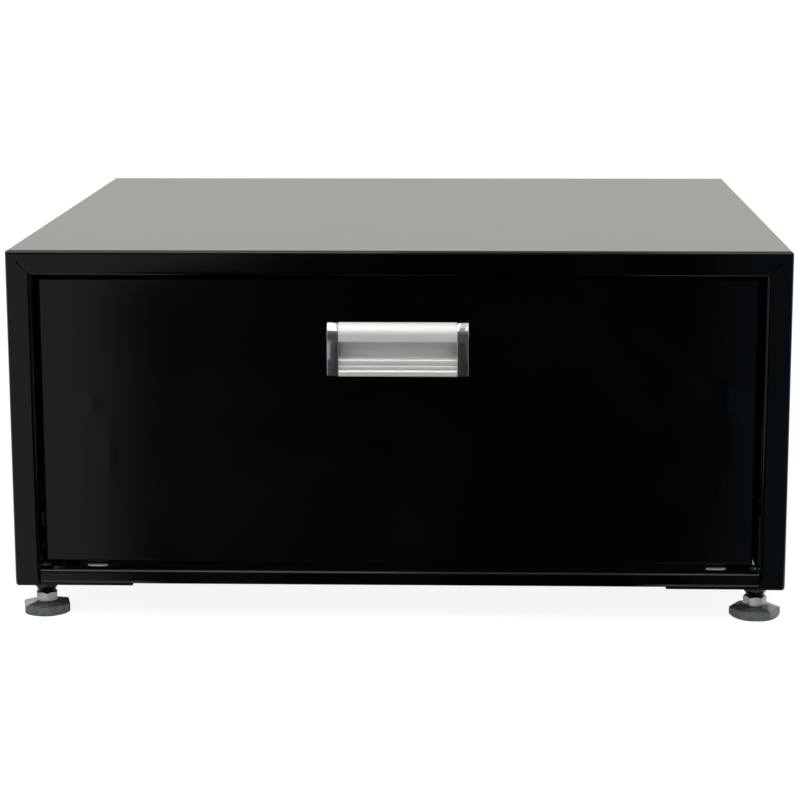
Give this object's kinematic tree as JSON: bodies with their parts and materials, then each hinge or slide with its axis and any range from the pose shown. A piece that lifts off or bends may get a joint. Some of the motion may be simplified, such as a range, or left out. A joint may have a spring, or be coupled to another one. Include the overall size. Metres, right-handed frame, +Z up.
{
  "type": "laundry pedestal with drawer",
  "caption": "Low gloss black sheet-steel pedestal that stands a washer off the floor, with a full-width drawer, a flush pull, ball runners and screw-adjusted feet.",
  "frame": {"origin": "on the floor under the middle of the box, feet screwed right in", "axes": "+X to the right across the front, +Y from the front to the back, +Z up"},
  "size_m": [0.6, 0.56, 0.29],
  "materials": {
    "black_enamel": "gloss",
    "zinc_plate": "satin",
    "bearing_steel": "polished",
    "tray_steel": "satin",
    "satin_aluminium": "satin",
    "bright_cap": "polished",
    "white_nylon": "satin",
    "black_rubber": "matte",
    "grey_foot_plastic": "satin"
  },
  "bodies": {
    "cabinet": {"cabinet_wrap": "black_enamel", "front_rail": "black_enamel", "rear_rail": "black_enamel", "back_panel": "black_enamel", "top_brace_front": "black_enamel", "top_brace_rear": "black_enamel", "floor_brace": "black_enamel", "foot_plate_front_left": "black_enamel", "foot_plate_front_right": "black_enamel", "foot_plate_rear_left": "black_enamel", "foot_plate_rear_right": "black_enamel", "weld_nuts": "black_enamel", "runner_bracket_left": "black_enamel", "runner_bracket_right": "black_enamel", "back_screws": "zinc_plate", "runner_rivets": "zinc_plate", "runner_outer_left": "zinc_plate", "runner_outer_right": "zinc_plate", "glide_left": "white_nylon", "glide_right": "white_nylon", "rear_bumper_left": "black_rubber", "rear_bumper_right": "black_rubber"},
    "drawer": {"drawer_front": "black_enamel", "drawer_liner": "black_enamel", "drawer_tray": "tray_steel", "tray_back": "tray_steel", "runner_inner_left": "zinc_plate", "runner_inner_right": "zinc_plate", "front_bracket_left": "zinc_plate", "front_bracket_right": "zinc_plate", "drawer_screws": "zinc_plate", "handle_profile": "satin_aluminium", "handle_cap_left": "bright_cap", "handle_cap_right": "bright_cap", "handle_clips": "zinc_plate"},
    "middle_left": {"runner_middle_left": "zinc_plate"},
    "balls_outer_left": {"cage_outer_left": "zinc_plate", "balls_outer_left": "bearing_steel"},
    "balls_inner_left": {"cage_inner_left": "zinc_plate", "balls_inner_left": "bearing_steel"},
    "middle_right": {"runner_middle_right": "zinc_plate"},
    "balls_outer_right": {"cage_outer_right": "zinc_plate", "balls_outer_right": "bearing_steel"},
    "balls_inner_right": {"cage_inner_right": "zinc_plate", "balls_inner_right": "bearing_steel"},
    "nut_front_left": {"lock_nut_front_left": "zinc_plate"},
    "foot_front_left": {"stud_front_left": "zinc_plate", "pad_front_left": "grey_foot_plastic"},
    "nut_front_right": {"lock_nut_front_right": "zinc_plate"},
    "foot_front_right": {"stud_front_right": "zinc_plate", "pad_front_right": "grey_foot_plastic"},
    "nut_rear_left": {"lock_nut_rear_left": "zinc_plate"},
    "foot_rear_left": {"stud_rear_left": "zinc_plate", "pad_rear_left": "grey_foot_plastic"},
    "nut_rear_right": {"lock_nut_rear_right": "zinc_plate"},
    "foot_rear_right": {"stud_rear_right": "zinc_plate", "pad_rear_right": "grey_foot_plastic"}
  },
  "joints": [
    {"name": "drawer_slide", "type": "slide", "parent": "cabinet", "child": "drawer", "axis": [0, -1, 0], "range_m": [0, 0.45]},
    {"name": "middle_left_slide", "type": "slide", "parent": "cabinet", "child": "middle_left", "axis": [0, -1, 0], "range_m": [0, 0.225]},
    {"name": "balls_outer_left_roll", "type": "slide", "parent": "cabinet", "child": "balls_outer_left", "axis": [0, -1, 0], "range_m": [0, 0.1125]},
    {"name": "balls_inner_left_roll", "type": "slide", "parent": "cabinet", "child": "balls_inner_left", "axis": [0, -1, 0], "range_m": [0, 0.3375]},
    {"name": "middle_right_slide", "type": "slide", "parent": "cabinet", "child": "middle_right", "axis": [0, -1, 0], "range_m": [0, 0.225]},
    {"name": "balls_outer_right_roll", "type": "slide", "parent": "cabinet", "child": "balls_outer_right", "axis": [0, -1, 0], "range_m": [0, 0.1125]},
    {"name": "balls_inner_right_roll", "type": "slide", "parent": "cabinet", "child": "balls_inner_right", "axis": [0, -1, 0], "range_m": [0, 0.3375]},
    {"name": "foot_front_left_turn", "type": "hinge", "parent": "cabinet", "child": "nut_front_left", "pos_m": [-0.279, -0.26, 0.013], "axis": [0, 0, -1], "range_deg": [0, 3600]},
    {"name": "foot_front_left_screw", "type": "slide", "parent": "nut_front_left", "child": "foot_front_left", "axis": [0, 0, -1], "range_m": [0, 0.015]},
    {"name": "foot_front_right_turn", "type": "hinge", "parent": "cabinet", "child": "nut_front_right", "pos_m": [0.279, -0.26, 0.013], "axis": [0, 0, -1], "range_deg": [0, 3600]},
    {"name": "foot_front_right_screw", "type": "slide", "parent": "nut_front_right", "child": "foot_front_right", "axis": [0, 0, -1], "range_m": [0, 0.015]},
    {"name": "foot_rear_left_turn", "type": "hinge", "parent": "cabinet", "child": "nut_rear_left", "pos_m": [-0.279, 0.26, 0.013], "axis": [0, 0, -1], "range_deg": [0, 3600]},
    {"name": "foot_rear_left_screw", "type": "slide", "parent": "nut_rear_left", "child": "foot_rear_left", "axis": [0, 0, -1], "range_m": [0, 0.015]},
    {"name": "foot_rear_right_turn", "type": "hinge", "parent": "cabinet", "child": "nut_rear_right", "pos_m": [0.279, 0.26, 0.013], "axis": [0, 0, -1], "range_deg": [0, 3600]},
    {"name": "foot_rear_right_screw", "type": "slide", "parent": "nut_rear_right", "child": "foot_rear_right", "axis": [0, 0, -1], "range_m": [0, 0.015]}
  ],
  "couplings": [
    {"joint": "middle_left_slide", "follows": "drawer_slide", "ratio": 0.5},
    {"joint": "balls_outer_left_roll", "follows": "drawer_slide", "ratio": 0.25},
    {"joint": "balls_inner_left_roll", "follows": "drawer_slide", "ratio": 0.75},
    {"joint": "middle_right_slide", "follows": "drawer_slide", "ratio": 0.5},
    {"joint": "balls_outer_right_roll", "follows": "drawer_slide", "ratio": 0.25},
    {"joint": "balls_inner_right_roll", "follows": "drawer_slide", "ratio": 0.75},
    {"joint": "foot_front_left_turn", "follows": "foot_front_left_screw", "rad_per_m": 4188.8},
    {"joint": "foot_front_right_turn", "follows": "foot_front_right_screw", "rad_per_m": 4188.8},
    {"joint": "foot_rear_left_turn", "follows": "foot_rear_left_screw", "rad_per_m": 4188.8},
    {"joint": "foot_rear_right_turn", "follows": "foot_rear_right_screw", "rad_per_m": 4188.8}
  ]
}
